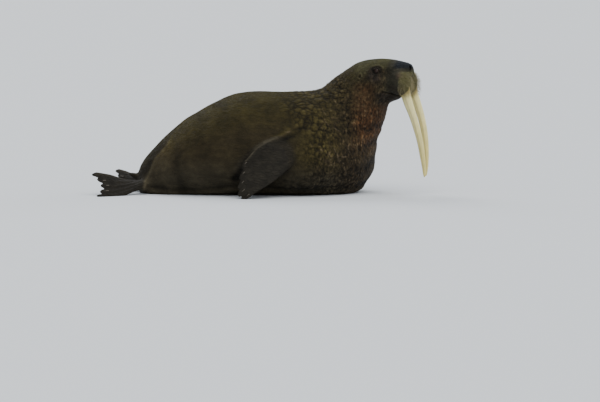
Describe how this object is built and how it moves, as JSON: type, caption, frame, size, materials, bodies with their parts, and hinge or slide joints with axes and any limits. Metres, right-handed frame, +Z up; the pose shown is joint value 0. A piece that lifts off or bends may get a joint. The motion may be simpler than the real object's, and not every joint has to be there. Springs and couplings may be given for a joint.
{
  "type": "walrus",
  "caption": "Life-size still model of a bull walrus resting on its belly, head raised and turned to its right, with long tusks, bristled muzzle and flippers.",
  "frame": {"origin": "on the floor, under the middle of the model's bounding box", "axes": "+X along the body from tail to head, +Y towards its left side, +Z up"},
  "size_m": [2.8322, 1.4612, 1.1372],
  "materials": {
    "hide": "olive-brown wrinkled hide with very short flat hair, slightly damp",
    "throat": "lumpy, creased red-brown hide of the neck, almost bare",
    "face": "dark brown short-haired skin",
    "muzzle_skin": "olive whisker pads with stiff translucent bristles",
    "flipper_skin": "bare, dark, wrinkled flipper skin",
    "eye": "wet dark eye",
    "ivory": "cream ivory with fine lengthwise grooves"
  },
  "bodies": {
    "root": {"rump": "hide", "torso": "hide", "neck": "throat", "head": "face", "muzzle": "muzzle_skin", "lower_jaw": "face", "eye_right": "eye", "eye_left": "eye", "tusk_right": "ivory", "tusk_left": "ivory", "fore_flipper_right": "flipper_skin", "fore_flipper_left": "flipper_skin", "hind_flipper_right": "flipper_skin", "hind_flipper_left": "flipper_skin", "tail": "flipper_skin"}
  },
  "joints": []
}
